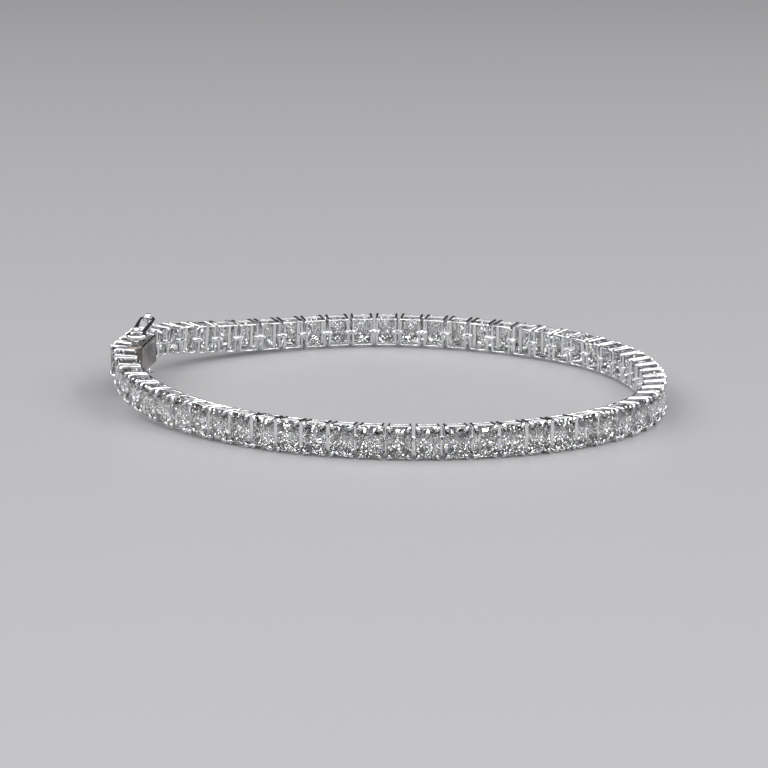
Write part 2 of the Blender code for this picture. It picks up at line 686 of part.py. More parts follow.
def main():
    for old in list(bpy.data.objects):
        bpy.data.objects.remove(old)
    material("polished_metal", (0.86, 0.87, 0.89), 0.12, 1.0)
    material("clear_stone", (0.93, 0.95, 0.98), 0.03, 0.0)

    joints = joint_points()
    ring = np.vstack((joints, joints[:1]))
    clasp = frame_between(joints[0], joints[CLASP_PITCHES] + np.array((0, 0, CLASP_FRONT_LIFT)))
    middle_joint = CLASP_PITCHES + FRONT_LINK_COUNT
    front_joints = ring[CLASP_PITCHES:middle_joint + 1]
    back_joints = ring[middle_joint:]
    front = stone_line(front_joints, frame_between(back_joints[0], back_joints[1]))
    tongue_frame = (*clasp[:3], clasp[3] + clasp[0] * TONGUE_MIDDLE)
    back = stone_line(back_joints, tongue_frame)
    box = in_world(clasp, clasp_box(frame_between(front_joints[0], front_joints[1]), clasp))
    tongue = in_world(clasp, clasp_tongue())

    shift = centred((front, back, box, tongue))
    root = bpy.data.objects.new("bracelet", None)
    root.location = shift
    bpy.context.scene.collection.objects.link(root)
    for name, solid in (("stone_line_front", front), ("stone_line_back", back),
                        ("clasp_box", box), ("clasp_tongue", tongue)):
        add_object(name, solid, root)

    wire, slope = safety_catch()
    along, out, up, _ = clasp
    for name, side in (("safety_catch_upper", 1), ("safety_catch_lower", -1)):
        hinge = place(clasp, [(TONGUE_MIDDLE, CATCH_LEVEL, side * (EDGE + EYE_LIFT))])[0]
        turned = Matrix.Rotation(slope, 4, "Y")
        axes = np.eye(4)
        axes[:3, 0], axes[:3, 1], axes[:3, 2], axes[:3, 3] = along, side * -out, side * up, hinge
        pivot = bpy.data.objects.new(name + "_pivot", None)
        bpy.context.scene.collection.objects.link(pivot)
        pivot.parent = root
        pivot.matrix_local = Matrix(axes.tolist()) @ turned
        add_object(name, wire, pivot)


main()
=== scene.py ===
"""A tennis bracelet: cut-corner stones in four-claw baskets, linked into a loop that stands on its edge.

Lengths are in metres. Every link has its own axes: U along the line, V outwards through the
stone's table, and W up the band. A shape is a pair: its points as an array of U, V, W rows, and
its faces as a list of index arrays, one array for each number of sides.
"""
import math

import bpy
import numpy as np
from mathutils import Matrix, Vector

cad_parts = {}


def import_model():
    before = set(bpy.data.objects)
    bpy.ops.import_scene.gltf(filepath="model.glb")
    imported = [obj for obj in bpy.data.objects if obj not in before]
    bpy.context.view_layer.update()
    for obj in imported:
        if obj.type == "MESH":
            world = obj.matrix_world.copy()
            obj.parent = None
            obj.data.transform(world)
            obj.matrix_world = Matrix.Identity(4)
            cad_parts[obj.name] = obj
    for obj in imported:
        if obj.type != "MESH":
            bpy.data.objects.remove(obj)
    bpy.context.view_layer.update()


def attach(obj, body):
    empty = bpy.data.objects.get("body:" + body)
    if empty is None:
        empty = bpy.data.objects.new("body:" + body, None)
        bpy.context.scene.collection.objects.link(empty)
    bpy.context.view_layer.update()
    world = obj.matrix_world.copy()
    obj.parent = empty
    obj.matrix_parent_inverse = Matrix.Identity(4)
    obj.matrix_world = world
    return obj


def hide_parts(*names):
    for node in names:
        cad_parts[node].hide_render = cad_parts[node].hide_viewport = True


MM = 0.001

# The line of stones
LINK_PITCH = 2.87 * MM
LINK_COUNT = 58
FRONT_LINK_COUNT = 30
BOX_STONE_COUNT = 3
CLASP_PITCHES = BOX_STONE_COUNT + 1
STATION_COUNT = LINK_COUNT + CLASP_PITCHES
HALF_PITCH = LINK_PITCH / 2

# The stone
STONE_HALF_WIDTH = 1.28 * MM
STONE_HALF_LENGTH = 1.65 * MM
STONE_CORNER = 0.32 * MM
TABLE_HALF_WIDTH = 0.78 * MM
TABLE_HALF_LENGTH = 1.10 * MM
TABLE_CORNER = 0.22 * MM
CROWN_HEIGHT = 0.36 * MM
PAVILION_DEPTH = 1.25 * MM
GIRDLE_LEVEL = 0.80 * MM
GIRDLE_HALF_THICKNESS = 0.03 * MM
KEEL_HALF_LENGTH = 0.30 * MM
PAVILION_NUDGE = 0.020 * MM
CROWN_NUDGE = 0.014 * MM
LEVEL_MARGIN = 0.01

# The crown's middle ring: share of its height, shares of the girdle's width and length, and of its corner
CROWN_STEP = (0.58, 0.84, 0.87, 1.1)
# The pavilion's rings of facet corners: share of its depth, and shares of the girdle's width and length
PAVILION_STEPS = (
    (0.10, 0.92, 0.93), (0.21, 0.81, 0.84), (0.32, 0.70, 0.75), (0.43, 0.60, 0.67), (0.54, 0.49, 0.58),
    (0.64, 0.39, 0.50), (0.74, 0.285, 0.42), (0.83, 0.19, 0.35), (0.91, 0.105, 0.28), (0.96, 0.05, 0.23),
)
# The pavilion's corner as a share of the girdle's: at the girdle, and how much less at the keel
PAVILION_CORNER = (1.3, 0.8)
# Where facet corners divide a half side and a half end of the girdle, as shares of its angle
SIDE_SHARES = (0.0, 0.27, 0.53, 0.77)
END_SHARES = (0.36, 0.70)

# Painted facet tints and the chance of each: clear, grey, violet-blue, green, yellow, red. The grey is
# painted dark specks of reflection and the colours are painted flashes of fire; the stone itself is
# colourless
PAINTED_FLASH_TINTS = (
    (1.00, 1.00, 1.00, 0.830), (0.72, 0.73, 0.75, 0.100), (0.46, 0.48, 1.00, 0.032),
    (0.50, 1.00, 0.66, 0.013), (1.00, 0.90, 0.45, 0.015), (1.00, 0.56, 0.52, 0.010),
)

# The basket
RAIL_LEVEL = -1.30 * MM
RAIL_THICKNESS = 0.30 * MM
RAIL_HALF_WIDTH = 1.22 * MM
RAIL_HALF_LENGTH = 1.55 * MM
RAIL_SIDE_BAR = 0.30 * MM
RAIL_END_BAR = 0.17 * MM
RAIL_TOP = RAIL_LEVEL + RAIL_THICKNESS
RAIL_INNER_CORNER = 0.10 * MM
RAIL_OUTER_CORNER = 0.22 * MM
RAIL_SECTION_SIDES = 10
RAIL_SECTION_REACH = 0.52
EDGE = STONE_HALF_LENGTH + 0.16 * MM
PRONG_RADIUS = 0.17 * MM
PRONG_ACROSS = (1, 0, -0.45)
PRONG_SIDE = 1.07 * MM
PRONG_SINK = 0.06 * MM
PRONG_BOX_SINK = 0.10 * MM
PRONG_FOOT_REACH = 1.45 * MM
PRONG_FOOT_LEAN = 0.13 * MM
PRONG_KNEE = 0.45
PRONG_KNEE_SIDE = 1.08 * MM
PRONG_REACH = 1.60 * MM
# A claw over the crown: U, height over the girdle and W in millimetres, and share of the prong's radius
CLAW_PATH = (
    (1.10, -0.05, 1.62, 1.00), (1.08, 0.17, 1.60, 1.04), (1.03, 0.29, 1.50, 1.06),
    (0.95, 0.31, 1.37, 1.00), (0.88, 0.30, 1.26, 0.80), (0.85, 0.29, 1.21, 0.40),
)
GALLERY_LEVEL = 0.20 * MM
GALLERY_RADIUS = 0.085 * MM
GALLERY_HALF_SPAN = 1.08 * MM
GALLERY_REACH = 1.535 * MM
GALLERY_BOW = 0.03 * MM
SEAT_DROP = 0.17 * MM
SEAT_RADIUS = 0.065 * MM
SEAT_HALF_SPAN = 1.05 * MM
SEAT_REACH = 1.59 * MM

# The hinge loop
LOOP_REACH = 0.66 * MM
LOOP_HEIGHT = 0.29 * MM
LOOP_CORNER = 0.27 * MM
LOOP_HALF_THICKNESS = 0.06 * MM
LOOP_HALF_WIDTH = 0.21 * MM
LOOP_SECTION_CORNER = 0.05 * MM
BEAD_RADIUS = 0.15 * MM
BEAD_PLACE = 0.40 * MM
BEAD_SINK = 0.03 * MM

# The clasp
CLASP_STONE_LIFT = 0.60 * MM
CLASP_FRONT_LIFT = 0.15 * MM
SEAM = -(CLASP_PITCHES / 2 - 1) * LINK_PITCH
TONGUE_MIDDLE = SEAM - HALF_PITCH + 0.10 * MM
BOX_FLOOR_LEVEL = -1.68 * MM
BOX_TOP_LEVEL = 0.05 * MM
BOX_HALF_WIDTH = 1.50 * MM
BOX_WALL = 0.30 * MM
BOX_TOP_WALL = 0.48 * MM
BOX_LIP = 0.07 * MM
BOX_EDGE = 0.20
# The box's front end and the rim of its mouth: U from BOX_END or BOX_START, and how far the floor,
# the top and each side are drawn in from the box's full size, in millimetres
BOX_FRONT = (
    (0.0, 0.62, 0.17, 0.28), (-0.03, 0.52, 0.10, 0.12), (-0.12, 0.38, 0.03, 0.04),
    (-0.40, 0.04, 0.005, 0.005), (-0.55, 0.0, 0.0, 0.0),
)
BOX_RIM = ((0.12, 0.0, 0.0, 0.0), (0.03, 0.02, 0.02, 0.02), (0.0, 0.07, 0.07, 0.07))
BOX_START = SEAM + 0.13 * MM
BOX_END = CLASP_PITCHES / 2 * LINK_PITCH - 0.45 * MM
BOX_FRONT_WALL = 1.00 * MM
TONGUE_HALF_WIDTH = 1.05 * MM
TONGUE_LOW = BOX_FLOOR_LEVEL + 0.38 * MM
TONGUE_HIGH = BOX_TOP_LEVEL - 0.56 * MM
TONGUE_LEAF = 0.20 * MM
TONGUE_LENGTH = 6.0 * MM
TONGUE_ROOT = -0.10 * MM
TONGUE_FREE_END = 0.80 * MM
TONGUE_CORNER = 0.05 * MM
# The end plate through its thickness: U from the seam in millimetres, and share of its full size
PLATE_STEPS = ((-0.30, 0.90), (-0.27, 0.98), (-0.06, 0.98), (-0.03, 0.90))
PLATE_MARGIN = 0.03 * MM
PLATE_CORNER = 0.16

# The safety catches
EYE_LIFT = 1.25 * MM
EYE_RADIUS = 0.58 * MM
EYE_HOLE = 0.34 * MM
EYE_HALF_THICKNESS = 0.28 * MM
EYE_EDGE = 0.10 * MM
EYE_SIDES = 28
# The eye's stem: W of its foot and neck in millimetres, and its radii from the foot up to the ring
EYE_STEM = (1.46, 1.80)
EYE_STEM_RADII = (0.30, 0.25, 0.22, 0.22)
EYE_STEM_END = 0.04 * MM
# The eye's foot across the band: U, V, W and radius in millimetres
EYE_FOOT = ((0, -1.15, 1.40, 0.16), (0, -0.90, 1.50, 0.20), (0, -0.10, 1.54, 0.20), (0, 0.82, 1.55, 0.14))
EYE_FOOT_SIDES = 10
CATCH_LEVEL = -0.45 * MM
CATCH_SPAN = 6.20 * MM
CATCH_RING_LIFT = 0.38 * MM
CATCH_SIDES = 12
BAIL_RADIUS = 0.23 * MM
BAIL_LEG_RADIUS = 0.28 * MM
BAIL_THICKENS_FROM = 0.6
BAIL_SIDE_CLEARANCE = 0.09 * MM
BAIL_BEND_CLEARANCE = 0.06 * MM
# The bail's legs: share of the span from the hinge, and share of the half width there
BAIL_LEG = ((0.12, 1.07), (0.30, 1.08), (0.52, 1.02))
BAIL_WAIST = 0.86
RING_WIRE_RADIUS = 0.27 * MM
RING_SIDES = 32
BALL_RADIUS = 0.43 * MM
BALL_CLEARANCE = 0.18 * MM
BALL_LIFT = 0.92 * MM
BALL_ARC = (-62, 86)
# The peg's collar below its neck: radius and W in millimetres
PEG_COLLAR = ((0.42, 1.42), (0.42, 1.56), (0.36, 1.64), (0.22, 1.72))
PEG_NECK_RADIUS = 0.20 * MM
PEG_NECK_GAP = 0.02 * MM
PEG_SIDES = 20
CLASP_RISE = EYE_LIFT + EYE_RADIUS

# The route of the loop seen from above, anticlockwise from the clasp's back end, in
# millimetres, with the share of the clasp's rise off the surface at each point.
ROUTE = (
    (-26.4, 4.5, 1.00), (-27.3, -1.2, 1.06), (-28.15, -6.9, 1.11), (-27.9, -10.2, 0.95),
    (-26.5, -15.3, 0.59), (-23.5, -20.3, 0.28), (-17.6, -26.8, 0.04), (-10.7, -31.9, 0.00),
    (-2.7, -34.9, 0.00), (5.9, -35.5, 0.00), (14.3, -33.6, 0.00), (21.6, -29.2, 0.00),
    (26.9, -22.4, 0.00), (29.1, -14.1, 0.00), (28.8, -5.5, 0.00), (26.5, 2.8, 0.00),
    (22.0, 10.0, 0.00), (15.4, 15.6, 0.00), (7.7, 19.4, 0.00), (-0.8, 20.9, 0.00),
    (-9.2, 19.3, 0.02), (-16.8, 15.4, 0.20), (-22.9, 10.8, 0.58),
)
ROUTE_SAMPLES = 4000
# The shift that puts the middle of the loop's outline at the origin
ROUTE_OFFSET = np.array((-0.25596, 7.29856, 0.0)) * MM

# The camera
CAMERA_DISTANCE = 462 * MM
CAMERA_ELEVATION = 12.4
CAMERA_LENS = 196.9
SENSOR_WIDTH = 36.0
CAMERA_CLIP_START = 0.01

# Soft panels round the front: azimuth from the front and elevation in degrees, width and height in
# metres, and brightness
PANELS = (
    (-124, 37, 0.13, 0.16, 1.0), (-98, 31, 0.09, 0.12, 1.2), (-82, 50, 0.15, 0.11, 1.0),
    (-60, 32, 0.10, 0.15, 1.2), (-41, 50, 0.15, 0.11, 1.0), (-27, 30, 0.07, 0.11, 1.6),
    (-10, 44, 0.14, 0.08, 1.1), (3, 29, 0.07, 0.07, 1.6), (20, 50, 0.13, 0.11, 1.0),
    (31, 30, 0.07, 0.11, 1.5), (50, 44, 0.13, 0.12, 1.0), (68, 31, 0.09, 0.12, 1.2),
    (86, 50, 0.15, 0.13, 1.0), (104, 31, 0.09, 0.12, 1.2), (126, 41, 0.13, 0.15, 1.0),
)
PANEL_DISTANCE = 0.62
PANEL_POWER = 24.0
OVERHEAD_PLACE = (0.0, 0.10, 0.62)
OVERHEAD_SIZE = (0.95, 0.70)
OVERHEAD_POWER = 2.8
ROOM_COLOUR = (0.80, 0.82, 0.85)
ROOM_STRENGTH = 0.05
FLOOR_HALF_SIZE = 2.5
FLOOR_COLOUR = (0.43, 0.43, 0.44)
FLOOR_ROUGHNESS = 0.36
FLOOR_IOR = 1.30

# Finish
ROUND_SIDES = 8
THIN_WIRE_SIDES = 6
SMOOTH_ANGLE = 52
SMEAR_DETAIL = 3.0
SCRATCH_DETAIL = 2.0
SCRATCH_STRETCH = (9.0, 9.0, 0.8)
SCRATCH_TURN = (0.5, 0.3, 0.0)
TONE_RANGE = (0.35, 0.62)
BUMP_DISTANCE = 0.01 * MM
STONE_IOR = 2.42
SEED = 62


def smooth_loop(points):
    """A closed cubic spline: between two knots each coordinate is the straight line plus the cubes
    of the distances to both knots, weighted by bends that make slope and curvature continuous."""
    count = len(points)
    gaps = np.linalg.norm(np.roll(points, -1, axis=0)[:, :2] - points[:, :2], axis=1)
    before = np.roll(gaps, 1)
    slopes = (np.roll(points, -1, axis=0) - points) / gaps[:, None]
    index = np.arange(count)
    system = np.zeros((count, count))
    np.add.at(system, (index, (index - 1) % count), before)
    np.add.at(system, (index, index), 2 * (before + gaps))
    np.add.at(system, (index, (index + 1) % count), gaps)
    bends = np.linalg.solve(system, 6 * (slopes - np.roll(slopes, 1, axis=0)))
    knots = np.concatenate(([0.0], np.cumsum(gaps)))
    where = np.linspace(0, knots[-1], ROUTE_SAMPLES, endpoint=False)
    piece = np.clip(np.searchsorted(knots, where, side="right") - 1, 0, count - 1)
    after = (piece + 1) % count
    gap = gaps[piece][:, None]
    near = (where - knots[piece])[:, None]
    far = gap - near
    return ((bends[piece] * far ** 3 + bends[after] * near ** 3) / (6 * gap)
            + (points[piece] / gap - bends[piece] * gap / 6) * far
            + (points[after] / gap - bends[after] * gap / 6) * near)


def joint_points():
    """The hinge points: the route scaled to the bracelet's length and cut at equal arc lengths."""
    points = np.array(ROUTE)
    points[:, :2] *= MM
    points[:, 2] *= CLASP_RISE
    curve = smooth_loop(points)
    closed = np.vstack((curve, curve[:1]))
    steps = np.linalg.norm(np.diff(closed[:, :2], axis=0), axis=1)
    length = np.concatenate(([0.0], np.cumsum(steps)))
    scale = STATION_COUNT * LINK_PITCH / length[-1]
    closed[:, :2] *= scale
    stations = np.arange(STATION_COUNT) * LINK_PITCH
    joints = np.stack([np.interp(stations, length * scale, closed[:, axis]) for axis in range(3)], axis=1)
    joints[:, 2] = np.maximum(joints[:, 2], 0) + EDGE
    return joints + ROUTE_OFFSET


def unit(vectors):
    """Each row divided by its length."""
    return vectors / np.linalg.norm(vectors, axis=-1, keepdims=True)


def frames_between(starts, ends):
    """Link axes: U from start to end, V is U crossed with the vertical, W is V crossed with U, and
    the middle of the two points. Rows of (U, V, W, middle)."""
    along = unit(ends - starts)
    out = unit(np.cross(along, (0.0, 0.0, 1.0)))
    return np.stack((along, out, np.cross(out, along), (starts + ends) / 2), axis=1)


def moved_along(frame, distances):
    """One frame repeated at distances along its own U axis."""
    frames = np.repeat(frame[None], len(distances), axis=0)
    frames[:, 3] += np.asarray(distances)[:, None] * frame[0]
    return frames


def placed(shape, frames):
    """The shape repeated in every frame: middle + u U + v V + w W. Its faces are reversed, because
    U, V, W is a left-handed set."""
    points, faces = shape
    world = np.einsum("pa,nab->npb", points, frames[:, :3]) + frames[:, None, 3]
    offsets = np.arange(len(frames))[:, None, None] * len(points)
    mirrored = [np.flip(rows, axis=-1) for rows in faces]
    return world.reshape(-1, 3), [(rows[None] + offsets).reshape(-1, rows.shape[1]) for rows in mirrored]


def joined(shapes):
    """Several shapes as one: points stacked, indices moved on by the points before them."""
    points, faces, count = [], [], 0
    for shape_points, shape_faces in shapes:
        faces += [rows + count for rows in shape_faces]
        points.append(shape_points)
        count += len(shape_points)
    return np.vstack(points), faces


def facing_out(points, faces):
    """A closed shape with its faces turned out: the sum of the tetrahedra from the origin to each
    face fan is the volume, and the order of every face is reversed if that is negative."""
    volume = 0.0
    for rows in faces:
        corner = points[rows]
        for second in range(1, rows.shape[1] - 1):
            volume += np.einsum("ij,ij->", corner[:, 0], np.cross(corner[:, second], corner[:, second + 1]))
    return points, faces if volume > 0 else [np.flip(rows, axis=1) for rows in faces]


def moved(shape, offset):
    """The shape shifted by an offset in U, V, W."""
    return shape[0] + np.asarray(offset), shape[1]


def flipped(shape, signs):
    """The shape with each axis multiplied by its sign, faces reversed where that mirrors it."""
    faces = shape[1] if np.prod(signs) > 0 else [np.flip(rows, axis=1) for rows in shape[1]]
    return shape[0] * np.asarray(signs, dtype=float), faces


def above_and_below(shape):
    """The shape and its mirror image below the band's middle plane."""
    return joined([shape, flipped(shape, (1, 1, -1))])


def band_faces(rows, columns, looped=False):
    """Quads of a grid whose rows are closed rings; a looped grid joins its last row to the first."""
    row, column = np.meshgrid(np.arange(rows if looped else rows - 1), np.arange(columns), indexing="ij")
    after = (row + 1) % rows
    beside = (column + 1) % columns
    quads = np.stack((row * columns + column, row * columns + beside,
                      after * columns + beside, after * columns + column), axis=-1)
    return quads.reshape(-1, 4)


def lofted(rings):
    """Rings of points skinned in order, with a flat cap on the first and on the last."""
    rings = np.asarray(rings)
    count, sides = rings.shape[:2]
    caps = np.stack((np.arange(sides)[::-1], np.arange(sides) + (count - 1) * sides))
    return facing_out(rings.reshape(-1, 3), [band_faces(count, sides), caps])


def ring_path(rings):
    """Rings of points skinned in order, the last joined to the first."""
    rings = np.asarray(rings)
    return facing_out(rings.reshape(-1, 3), [band_faces(len(rings), rings.shape[1], looped=True)])


def round_sections(path, radii, across, sides, looped=False):
    """Circles along a path: centre + radius (cos t N + sin t B), where N is the across direction
    crossed with the heading and B is the heading crossed with N."""
    path = np.asarray(path, dtype=float)
    if looped:
        heading = np.roll(path, -1, axis=0) - np.roll(path, 1, axis=0)
    else:
        heading = np.gradient(path, axis=0)
    heading = unit(heading)
    side = unit(np.cross(np.asarray(across, dtype=float), heading))
    other = np.cross(heading, side)
    turn = 2 * np.pi * np.arange(sides) / sides
    radii = np.broadcast_to(radii, len(path))[:, None, None]
    circle = np.cos(turn)[None, :, None] * side[:, None] + np.sin(turn)[None, :, None] * other[:, None]
    return path[:, None] + radii * circle


def wire(path, radii, across, sides=ROUND_SIDES):
    """A round wire along an open path, closed at both ends."""
    return lofted(round_sections(path, radii, across, sides))


def turned(profile, sides):
    """A profile of (radius, height) rows turned round W: (r cos t, r sin t, height)."""
    radius, height = profile[:, :1], profile[:, 1:]
    turn = 2 * np.pi * np.arange(sides) / sides
    level = np.broadcast_to(height, (len(profile), sides))
    return lofted(np.stack((radius * np.cos(turn), radius * np.sin(turn), level), axis=-1))


def curve_through(points, count):
    """A smooth open path: cubic Hermite pieces whose slope at each point is half the step between
    its neighbours."""
    points = np.asarray(points, dtype=float)
    slope = np.gradient(points, axis=0)
    where = np.linspace(0, len(points) - 1, count)
    piece = np.clip(where.astype(int), 0, len(points) - 2)
    t = (where - piece)[:, None]
    return ((2 * t ** 3 - 3 * t ** 2 + 1) * points[piece] + (t ** 3 - 2 * t ** 2 + t) * slope[piece]
            + (3 * t ** 2 - 2 * t ** 3) * points[piece + 1] + (t ** 3 - t ** 2) * slope[piece + 1])


def rounded_rectangle(half_a, half_b, radius, steps=3):
    """Points round a rectangle with quarter-circle corners: corner centre + radius (cos t, sin t)."""
    turn = (np.arange(4)[:, None] + np.linspace(0, 1, steps)) * np.pi / 2
    sign_a = np.array((1, -1, -1, 1))[:, None]
    sign_b = np.array((1, 1, -1, -1))[:, None]
    a = sign_a * (half_a - radius) + radius * np.cos(turn)
    b = sign_b * (half_b - radius) + radius * np.sin(turn)
    return np.stack((a.ravel(), b.ravel()), axis=1)


def cut_corner_ring(half_width, half_length, corner, angles, level):
    """Points on a cut-corner rectangle: in each direction the nearest of its side line, its end line
    and its corner line, at one level."""
    cosine, sine = np.cos(angles), np.sin(angles)
    side = half_width / np.maximum(np.abs(cosine), 1e-6)
    end = half_length / np.maximum(np.abs(sine), 1e-6)
    cut = (half_width + half_length - corner) / (np.abs(cosine) + np.abs(sine))
    reach = np.minimum(np.minimum(side, end), cut)
    return np.stack((reach * cosine, np.full(len(angles), level), reach * sine), axis=1)


def girdle_angles():
    """Directions of the girdle's corners and of the points that divide its sides, in order round it."""
    low = math.atan2(STONE_HALF_LENGTH - STONE_CORNER, STONE_HALF_WIDTH)
    high = math.atan2(STONE_HALF_LENGTH, STONE_HALF_WIDTH - STONE_CORNER)
    end = np.pi / 2 - high
    quarter = np.concatenate((low * np.array(SIDE_SHARES), (low, high), high + end * np.array(END_SHARES)))
    half = np.concatenate((quarter, [np.pi / 2], np.pi - quarter[:0:-1]))
    return np.concatenate((half, half + np.pi))


def brilliant_stone(lift):
    """A cut-corner stone of triangular facets: rings of points from the table down to the keel, each
    ring's points halfway round between those of the ring above, joined in zigzag."""
    here = girdle_angles()
    between = here + (np.roll(here, -1) - here + 2 * np.pi) % (2 * np.pi) / 2
    count = len(here)
    girdle = GIRDLE_LEVEL + lift
    upper, lower = girdle + GIRDLE_HALF_THICKNESS, girdle - GIRDLE_HALF_THICKNESS
    width, length, corner = STONE_HALF_WIDTH, STONE_HALF_LENGTH, STONE_CORNER
    step_height, step_w, step_l, step_corner = CROWN_STEP
    rings = [
        cut_corner_ring(TABLE_HALF_WIDTH, TABLE_HALF_LENGTH, TABLE_CORNER, here, girdle + CROWN_HEIGHT),
        cut_corner_ring(width * step_w, length * step_l, corner * step_corner, between,
                        girdle + CROWN_HEIGHT * step_height),
        cut_corner_ring(width, length, corner, here, upper),
        cut_corner_ring(width, length, corner, here, lower),
    ]
    corner_start, corner_loss = PAVILION_CORNER
    for number, (depth, share_w, share_l) in enumerate(PAVILION_STEPS):
        rings.append(cut_corner_ring(width * share_w, length * share_l,
                                     corner * (corner_start - corner_loss * depth),
                                     here if number % 2 else between, girdle - PAVILION_DEPTH * depth))
    keel = np.array([(0, girdle - PAVILION_DEPTH, KEEL_HALF_LENGTH),
                     (0, girdle - PAVILION_DEPTH, -KEEL_HALF_LENGTH)])
    points = np.vstack(rings + [keel])
    index = np.arange(count)
    beside = (index + 1) % count

    def zigzag(top, bottom, offset_first):
        top, bottom = top * count, bottom * count
        if offset_first:
            down = np.stack((top + index, bottom + beside, bottom + index), axis=1)
            up = np.stack((top + index, top + beside, bottom + beside), axis=1)
        else:
            down = np.stack((top + index, top + beside, bottom + index), axis=1)
            up = np.stack((top + beside, bottom + beside, bottom + index), axis=1)
        return np.vstack((down, up))

    flat = np.stack((2 * count + index, 2 * count + beside, 3 * count + beside, 3 * count + index), axis=1)
    last = len(rings) - 1
    end = np.where(np.sin(between) > 0, last * count + count, last * count + count + 1)
    nearest = np.stack((last * count + index, last * count + beside, end), axis=1)
    turn = np.flatnonzero(end != np.roll(end, -1))
    bridge = np.stack((last * count + beside[turn], np.roll(end, -1)[turn], end[turn]), axis=1)
    belts = [zigzag(0, 1, False), zigzag(1, 2, True)]
    belts += [zigzag(ring, ring + 1, ring % 2 == 0) for ring in range(3, last)]
    triangles = np.vstack(belts + [nearest, bridge])
    return facing_out(points, [triangles, flat, index[None, ::-1]])


def prong(foot, lift):
    """One round prong: from its foot it leans out to the stone's cut corner, by way of a knee that is
    a share of the way up, then bends over the crown as a claw with a rounded tip."""
    girdle = GIRDLE_LEVEL + lift
    lean = max((foot - RAIL_TOP) / (GIRDLE_LEVEL - RAIL_TOP), 0)
    claw = np.array(CLAW_PATH)
    over = claw[:, :3] * MM + (0, girdle, 0)
    reach = PRONG_FOOT_REACH + PRONG_FOOT_LEAN * lean
    start = (PRONG_SIDE, foot - PRONG_SINK, reach)
    knee = (PRONG_KNEE_SIDE, foot + (girdle - foot) * PRONG_KNEE,
            reach + (PRONG_REACH - reach) * PRONG_KNEE)
    radii = np.concatenate(((1, 1), claw[:, 3])) * PRONG_RADIUS
    return wire(np.vstack((start, knee, over)), radii, PRONG_ACROSS)


def four_prongs(foot, lift):
    """The prong mirrored to the basket's four corners."""
    corner = prong(foot, lift)
    return joined([flipped(corner, (u, 1, w)) for u in (1, -1) for w in (1, -1)])


def rail():
    """The wrist-side frame: each section is an oval between the inner and the outer rectangle,
    carried round them."""
    inner = rounded_rectangle(RAIL_HALF_WIDTH - RAIL_SIDE_BAR, RAIL_HALF_LENGTH - RAIL_END_BAR,
                              RAIL_INNER_CORNER)
    outer = rounded_rectangle(RAIL_HALF_WIDTH, RAIL_HALF_LENGTH, RAIL_OUTER_CORNER)
    turn = 2 * np.pi * (np.arange(RAIL_SECTION_SIDES) + 0.5) / RAIL_SECTION_SIDES
    section = 0.5 + RAIL_SECTION_REACH * np.stack((-np.sin(turn), np.cos(turn)), axis=1)
    share = section[None, :, :1]
    plan = inner[:, None] * (1 - share) + outer[:, None] * share
    level = np.broadcast_to(RAIL_LEVEL + section[:, 1] * RAIL_THICKNESS, plan.shape[:2])
    return ring_path(np.stack((plan[..., 0], level, plan[..., 1]), axis=-1))


def gallery_wire(lift):
    """A thin wire between the two prongs of an edge, bowed out a little: w follows a parabola."""
    u = np.linspace(-GALLERY_HALF_SPAN, GALLERY_HALF_SPAN, 5)
    w = GALLERY_REACH + GALLERY_BOW * (1 - (u / GALLERY_HALF_SPAN) ** 2)
    path = np.stack((u, np.full(5, GALLERY_LEVEL + lift), w), axis=1)
    return above_and_below(wire(path, GALLERY_RADIUS, (0, 1, 0), THIN_WIRE_SIDES))


def seat_wire(lift):
    """A thin wire just under the girdle between the prongs of an edge."""
    u = np.linspace(-SEAT_HALF_SPAN, SEAT_HALF_SPAN, 3)
    path = np.stack((u, np.full(3, GIRDLE_LEVEL + lift - SEAT_DROP), np.full(3, SEAT_REACH)), axis=1)
    return above_and_below(wire(path, SEAT_RADIUS, (0, 1, 0), THIN_WIRE_SIDES))


def basket(foot, lift, with_rail):
    """One setting: four prongs, its gallery wires and, on a link, the wrist-side rail."""
    pieces = [four_prongs(foot, lift), gallery_wire(lift), seat_wire(lift)]
    return joined(pieces + [rail()] if with_rail else pieces)


def hinge_loop():
    """A flat loop round two side bars, a stadium path carried with a softened flat section, and a
    bead at each end on its wrist side."""
    path = rounded_rectangle(LOOP_REACH, LOOP_HEIGHT, LOOP_CORNER, 5)
    heading = unit(np.roll(path, -1, axis=0) - np.roll(path, 1, axis=0))
    outward = np.stack((heading[:, 1], -heading[:, 0]), axis=1)
    section = rounded_rectangle(LOOP_HALF_THICKNESS, LOOP_HALF_WIDTH, LOOP_SECTION_CORNER, 2)
    plan = path[:, None] + section[None, :, :1] * outward[:, None]
    level = np.broadcast_to(section[:, 1], plan.shape[:2])
    middle = (RAIL_LEVEL + RAIL_TOP) / 2
    band = ring_path(np.stack((plan[..., 0], plan[..., 1] + middle, level), axis=-1))
    angle = np.radians((-80, -40, 0, 40, 80))
    bead = turned(np.stack((np.cos(angle), np.sin(angle)), axis=1) * BEAD_RADIUS, ROUND_SIDES)
    wrist_side = middle - LOOP_HEIGHT - BEAD_SINK
    return joined([band] + [moved(bead, (place, wrist_side, 0)) for place in (BEAD_PLACE, -BEAD_PLACE)])


